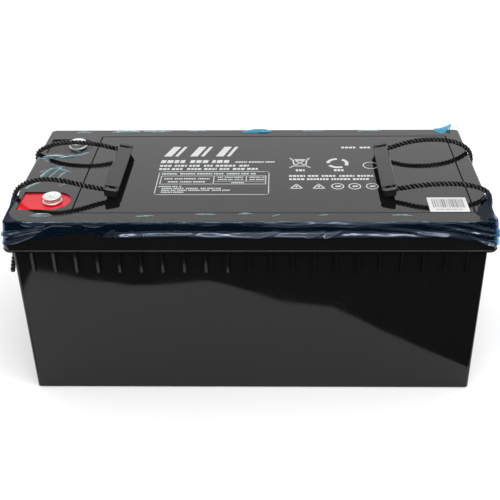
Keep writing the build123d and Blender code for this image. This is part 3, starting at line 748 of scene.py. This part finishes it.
def scrap_strips(name, strips, material):
    """Ragged narrow strips of film on the lid: each from x, y to x, y, width, bow, lift."""
    points, faces = [], []
    across_count, area = 4, 0.0
    for number, (x0, y0, x1, y1, width, bow, lift) in enumerate(strips):
        run = math.hypot(x1 - x0, y1 - y0)
        side = (-(y1 - y0) / run, (x1 - x0) / run)
        steps = max(6, int(run / 2.0))
        start = len(points)
        for i in range(steps + 1):
            t = i / steps
            ragged = 1 + 0.5 * noise.noise(Vector((t * run / 5, number * 3.7, 1.0)))
            wide = width * ragged * (0.12 + math.sin(math.pi * t) ** 0.6)
            middle = bow * math.sin(math.pi * t)
            for j in range(across_count + 1):
                v = j / across_count - 0.5
                off = middle + wide * v
                x = x0 + (x1 - x0) * t + side[0] * off
                y = y0 + (y1 - y0) * t + side[1] * off
                crown = lift * (1 - 4 * v * v) * math.sin(math.pi * t)
                z = LID_TOP + 0.15 + max(0.0, crown) + 0.1 * abs(v)
                points.append((x * MM, y * MM, z * MM))
            area += wide * run / steps
        for i in range(steps):
            for j in range(across_count):
                a = start + i * (across_count + 1) + j
                faces.append((a, a + 1, a + across_count + 2, a + across_count + 1))
    scrap = link(name, mesh_of(name, points, faces), material)
    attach(scrap, "root")


scrap_strips(
    "film_scraps_left",
    [
        (-256, 34, -226, 42, 8, 2, 0.9), (-232, 36, -198, 51, 6, -2, 0.8),
        (-252, 38, -240, 24, 5, 1, 0.6), (-241, -24, -232, 12, 4, 2, 0.9),
        (-234, -20, -222, 16, 3, -1, 0.7), (-246, -2, -218, 14, 3, 1, 0.6),
        (-222, -24, -214, 2, 3, 1, 0.6), (-230, 14, -208, -2, 3, -2, 0.6),
        (-252, -44, -238, -26, 4, 1, 0.6), (-216, -36, -198, -28, 3, 1, 0.5),
        (-222, 60, -208, 52, 3, 1, 0.5), (-232, -104, -208, -103, 7, 1, 0.8),
    ],
    thin_film,
)
scrap_strips(
    "film_scraps_rear",
    [
        (-224, 110, -206, 110, 4, 0, 0.7), (-180, 110, -144, 112, 6, 1, 1.0),
        (-142, 113, -104, 112, 4, -1, 0.7), (-86, 113, -60, 112, 3, 1, 0.6),
        (60, 113, 88, 113, 3, 0, 0.5), (130, 112, 160, 113, 4, 1, 0.6),
    ],
    thin_film,
)
scrap_strips(
    "film_scraps_torn",
    [(-16, 110, 20, 115, 9, 1, 2.4), (-4, 114, 24, 113, 5, -1, 3.2)],
    azure_film,
)
scrap_strips(
    "film_scraps_front",
    [
        (-58, -101, -34, -102, 3, 0, 0.4), (-12, -101, 4, -101, 3, 1, 0.4),
        (24, -106, 34, -101, 2, 0, 0.4), (72, -104, 84, -102, 2, 0, 0.4),
        (-120, -106, -100, -104, 3, 0, 0.4), (150, -103, 172, -104, 3, 0, 0.4),
    ],
    thin_film,
)


def standing_flap():
    """A torn tongue of film that stands up at the rear right of the lid."""
    columns, rows = 14, 8
    points, faces = [], []
    for i in range(columns + 1):
        t = i / columns
        top = 1.0 + 5.5 * t ** 1.4
        foot = 4.0 + 9.0 * math.sin(math.pi * min(1, t * 1.2))
        for j in range(rows + 1):
            rise = j / rows
            x = 226 + 21 * t + 2.0 * rise
            y = 118.0 - foot * (1 - rise) - 1.2 * math.sin(5.0 * t)
            y += 0.8 * noise.noise(Vector((t * 6, rise * 3, 4.0)))
            points.append((x * MM, y * MM, (LID_TOP + 0.3 + top * rise) * MM))
    for i in range(columns):
        for j in range(rows):
            a = i * (rows + 1) + j
            faces.append((a, a + rows + 1, a + rows + 2, a + 1))
    flap = link("film_flap", mesh_of("film_flap", points, faces), azure_film)
    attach(flap, "root")


standing_flap()


# ---- print on the cover plate ----------------------------------------------------------
class Print:
    """Flat printed shapes, gathered into one mesh; x and y in mm."""

    def __init__(self, z, thickness):
        self.z, self.thickness = z, thickness
        self.points, self.faces = [], []

    def patch(self, outline):
        """A filled outline, as a thin slab."""
        count, start = len(outline), len(self.points)
        for z in (self.z, self.z + self.thickness):
            self.points += [(x * MM, y * MM, z * MM) for x, y in outline]
        self.faces.append(tuple(start + count + k for k in range(count)))
        self.faces.append(tuple(start + k for k in range(count))[::-1])
        for k in range(count):
            a, b = start + k, start + (k + 1) % count
            self.faces.append((a, b, b + count, a + count))

    def bar(self, x0, x1, y0, y1, slant=0.0):
        """A bar whose upper edge is pushed along by slant."""
        self.patch([(x0, y0), (x1, y0), (x1 + slant, y1), (x0 + slant, y1)])

    def dashes(self, x0, x1, y, height, seed, slant=0.0):
        """A row of bars with the lengths and gaps of words."""
        random.seed(seed)
        x = x0
        while x < x1 - height:
            end = min(x1, x + height * random.uniform(2.2, 6.0))
            while x < end - 0.3 * height:
                block = height * random.uniform(0.5, 0.95)
                self.bar(x, min(x + block, end), y - height / 2, y + height / 2, slant)
                x += block + 0.22 * height
            x = end + height * random.uniform(0.5, 0.8)

    def ring(self, x, y, radius, width, start=0.0, sweep=360.0, sides=36):
        """A ring, or part of one."""
        outer, inner = [], []
        hollow = radius - width
        for k in range(sides + 1):
            turn = math.radians(start + sweep * k / sides)
            outer.append((x + radius * math.cos(turn), y + radius * math.sin(turn)))
            inner.append((x + hollow * math.cos(turn), y + hollow * math.sin(turn)))
        for k in range(sides):
            self.patch([inner[k], outer[k], outer[k + 1], inner[k + 1]])

    def frame(self, corners, width):
        """An outline of bars through these corners, on the inside of them."""
        for k, (x0, y0) in enumerate(corners):
            x1, y1 = corners[(k + 1) % len(corners)]
            run = math.hypot(x1 - x0, y1 - y0)
            dx, dy = (x1 - x0) / run * width, (y1 - y0) / run * width
            inner = [(x1 - dy - dx, y1 + dx - dy), (x0 - dy + dx, y0 + dx + dy)]
            self.patch([(x0, y0), (x1, y1)] + inner)

    def finish(self, name, material):
        """Makes the shapes one piece that rides on the case."""
        obj = link(name, mesh_of(name, self.points, self.faces), material, smooth=False)
        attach(obj, "root")


white_ink = ink("white_ink", (0.44, 0.45, 0.46), (0.60, 0.61, 0.62), 0.35)
grey_ink = ink("grey_ink", (0.13, 0.13, 0.13), (0.22, 0.22, 0.22), 0.5)
COVER_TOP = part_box("cover_plate")[1][2] / MM
LINE = 0.9  # width of the ruled lines

marks = Print(COVER_TOP + 0.02, 0.05)
# A plain heading: three pairs of slanted bars, one broad and one narrow.
for number in range(3):
    x0 = -106 + 31 * number
    marks.bar(x0, x0 + 9, 40, 67, 9.0)
    marks.bar(x0 + 13, x0 + 17, 40, 67, 9.0)
# Rows that stand for a heading's lines, coarse then fine.
marks.dashes(-108, -24, 26.0, 7.5, 11, 1.0)
marks.dashes(-20, 26, 24.6, 3.4, 12, 0.5)
marks.dashes(-108, -4, 14.8, 4.6, 13, 0.5)
marks.dashes(-108, 7, 6.2, 4.6, 14, 0.5)


def rounded(x0, x1, y0, y1, radius):
    """Corners of a rectangle with rounded corners."""
    corners = []
    for cx, cy, start in (
        (x1 - radius, y0 + radius, -90), (x1 - radius, y1 - radius, 0),
        (x0 + radius, y1 - radius, 90), (x0 + radius, y0 + radius, 180),
    ):
        for k in range(5):
            turn = math.radians(start + 22.5 * k)
            corners.append((cx + radius * math.cos(turn), cy + radius * math.sin(turn)))
    return corners


marks.frame(rounded(-106.5, 20.5, -57, 0, 4), LINE)
marks.frame([(-103, -32), (17, -32), (17, -11), (-103, -11)], LINE)
marks.bar(-43, -43 + LINE, -32, -11)
marks.bar(-6, -6 + LINE, -24, -11)
marks.bar(-43, 17, -25, -24.4)
marks.dashes(-103, 6, -6.0, 3.2, 15)
marks.dashes(-99, -46, -18.5, 2.8, 16)
marks.dashes(-94, -52, -26.0, 2.8, 17)
marks.dashes(-38, -9, -15.0, 2.2, 18)
marks.dashes(-38, -9, -20.5, 2.2, 19)
marks.dashes(-2, 15, -15.0, 2.2, 20)
marks.dashes(-2, 15, -20.5, 2.2, 21)
marks.dashes(-22, -4, -28.4, 2.4, 22)
for row, (x1, y) in enumerate(((-77, -37.5), (-32, -42.0), (-22, -46.5), (-73, -51.0))):
    marks.dashes(-103 + 4 * (row > 0), x1, y, 2.4, 23 + row)

# Plain round and square marks beside them.
marks.frame([(49, 13), (63, 13), (65, 29), (47, 29)], 1.6)
marks.bar(45.5, 66.5, 29.5, 31.5)
for corner in (0, 1):
    y0, y1 = 9 + 26 * corner, 35 - 26 * corner
    marks.patch([(43, y0), (45, y0), (69, y1), (67, y1)])
marks.dashes(51, 61, 2.5, 5.0, 31)
for k in range(3):
    marks.ring(100, 21, 13, 4.0, 90 + 120 * k, 88)
marks.dashes(95, 106, 2.5, 5.0, 32)
marks.ring(138, 15, 9, 1.2)
marks.dashes(43, 143, -12.0, 4.2, 33)
marks.dashes(43, 140, -20.0, 4.2, 34)
for x in (51, 76):
    marks.frame([(x - 8, -43), (x + 8, -43), (x, -31)], 1.5)
    marks.bar(x - 0.9, x + 0.9, -40, -36)
for x in (97, 116, 135.5):
    marks.ring(x, -37.5, 7.2, 1.3)
    marks.bar(x - 3, x + 3, -39, -36, 1.0)
marks.dashes(107, 142, 64, 4.4, 35)
marks.finish("cover_print", white_ink)

# ---- bars on the label -----------------------------------------------------------------
LABEL_MARGIN = 4.5
label_low, label_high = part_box("barcode_label")
LABEL_X0, LABEL_X1 = label_low[0] / MM, label_high[0] / MM
LABEL_Y0, LABEL_Y1 = label_low[1] / MM, label_high[1] / MM
bars = Print(label_high[2] / MM + 0.02, 0.04)
random.seed(5)
x = LABEL_X0 + LABEL_MARGIN
while x < LABEL_X1 - LABEL_MARGIN:
    width = random.choice((0.6, 0.6, 1.1, 1.5))
    bars.bar(x, x + width, LABEL_Y0 + 9, LABEL_Y1 - 4)
    x += width + random.choice((0.7, 0.7, 1.2))
bars.dashes(LABEL_X0 + 7, LABEL_X1 - 7, LABEL_Y0 + 5, 1.6, 6)
bars.finish("label_bars", grey_ink)

# ---- weld bead where the lid is sealed to the case -------------------------------------
SEAM = 190.6


def seal_bead():
    """The bead of plastic squeezed out all round the seam, uneven as a hot-plate weld is."""
    steps, ring = 900, 8
    points, faces = [], []
    for i in range(steps):
        u = OUTLINE * i / steps
        (x, y), (nx, ny) = rim_point(u)
        size = 0.75 + 0.25 * noise.noise(Vector((u / 6, 0.0, 2.0)))
        size += 0.5 * max(0.0, noise.noise(Vector((u / 2.5, 3.0, 2.0))) - 0.25)
        for j in range(ring):
            turn = 2 * math.pi * j / ring
            out, up = size * math.cos(turn) - 0.1, size * math.sin(turn)
            points.append(((x + nx * out) * MM, (y + ny * out) * MM, (SEAM + up) * MM))
    for i in range(steps):
        for j in range(ring):
            a, b = i * ring, (i + 1) % steps * ring
            k = (j + 1) % ring
            faces.append((a + j, b + j, b + k, a + k))
    bead = link("seal_bead", mesh_of("seal_bead", points, faces), MATERIALS["case_plastic"])
    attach(bead, "root")


seal_bead()

# ---- floor and light -------------------------------------------------------------------
floor_shader = Shader("floor", Roughness=0.9, Specular_IOR_Level=0.1)
floor_shader.colour(floor_shader.noise(0.4), (0.92, 0.92, 0.92), (0.94, 0.94, 0.94))
floor = link(
    "floor",
    mesh_of("floor", [(-4, -4, 0), (4, -4, 0), (4, 4, 0), (-4, 4, 0)], [(0, 1, 2, 3)]),
    floor_shader.material,
)

# A dark card in front of the studio table: only the glossy case front mirrors it.
CARD_EDGE = [
    (-900, -400), (-360, -360), (-310, -180),
    (-262, -122), (-268, -162), (-285, -210), (-297, -241), (-311, -284), (-315, -311),
    (-314, -354), (-229, -328), (-168, -316), (-118, -320), (-68, -325), (-8, -302),
    (36, -280), (102, -269), (162, -217), (215, -178), (255, -149),
    (500, -140), (900, -140), (900, -1600), (-900, -1600),
]
CARD_Z = 1.5
card_shader = Shader(
    "card", Base_Color=(0.003, 0.003, 0.003, 1), Roughness=1.0, Specular_IOR_Level=0.0
)
outline = [(x * MM, y * MM, CARD_Z * MM) for x, y in CARD_EDGE]
card = link(
    "card", mesh_of("card", outline, [tuple(range(len(outline)))[::-1]]), card_shader.material
)
card.visible_camera = False
card.visible_diffuse = False
card.visible_shadow = False

world = bpy.data.worlds.new("studio")
bpy.context.scene.world = world
world.use_nodes = True
sky = world.node_tree.nodes
background = sky["Background"]
background.inputs["Color"].default_value = (1, 1, 1, 1)
# Reflections see a white backdrop behind the object, and a dimmer room in front of it
# that brightens towards a lit ceiling.
ROOM_AMBIENT, BACKDROP, ROOM_LOW, CEILING = 1.06, 1.18, 0.22, 1.3
path = sky.new("ShaderNodeLightPath")
heading = sky.new("ShaderNodeTexCoord")
split = sky.new("ShaderNodeSeparateXYZ")
world.node_tree.links.new(heading.outputs["Generated"], split.inputs["Vector"])


def sky_ramp(source, start, end, low, high):
    """The world's own smooth ramp, as Shader.ramp is a material's."""
    made = sky.new("ShaderNodeMapRange")
    made.interpolation_type = "SMOOTHSTEP"
    for key, value in zip(
        ("From Min", "From Max", "To Min", "To Max"), (start, end, low, high)
    ):
        made.inputs[key].default_value = value
    world.node_tree.links.new(source, made.inputs["Value"])
    return made.outputs["Result"]


def sky_mix(factor, first, second):
    """A mix of two strengths, each a number or a socket."""
    made = sky.new("ShaderNodeMix")
    for value, key in ((factor, "Factor"), (first, "A"), (second, "B")):
        if isinstance(value, float):
            made.inputs[key].default_value = value
        else:
            world.node_tree.links.new(value, made.inputs[key])
    return made.outputs["Result"]


room = sky_ramp(split.outputs["Z"], 0.25, 0.75, ROOM_LOW, CEILING)
behind = sky_ramp(split.outputs["Y"], -0.25, 0.25, 0.0, 1.0)
mirrored = sky_mix(behind, room, BACKDROP)
strength = sky_mix(path.outputs["Is Glossy Ray"], ROOM_AMBIENT, mirrored)
world.node_tree.links.new(strength, background.inputs["Strength"])


def softbox(name, place, aim, size, power):
    """A square-edged area light at place that faces aim."""
    lamp = bpy.data.lights.new(name, "AREA")
    lamp.shape = "RECTANGLE"
    lamp.size, lamp.size_y = size
    lamp.energy = power
    holder = bpy.data.objects.new(name, lamp)
    bpy.context.scene.collection.objects.link(holder)
    holder.location = place
    holder.rotation_euler = (Vector(aim) - Vector(place)).to_track_quat("-Z", "Y").to_euler()
    holder.visible_camera = False


softbox("key", (0.9, -0.6, 1.6), (0, 0, 0.15), (0.6, 0.6), 7)
softbox("front_strip", (0.0, -1.36, 1.62), (0, 0, 0.2), (2.2, 0.18), 14)

bpy.context.scene.view_settings.view_transform = "Standard"
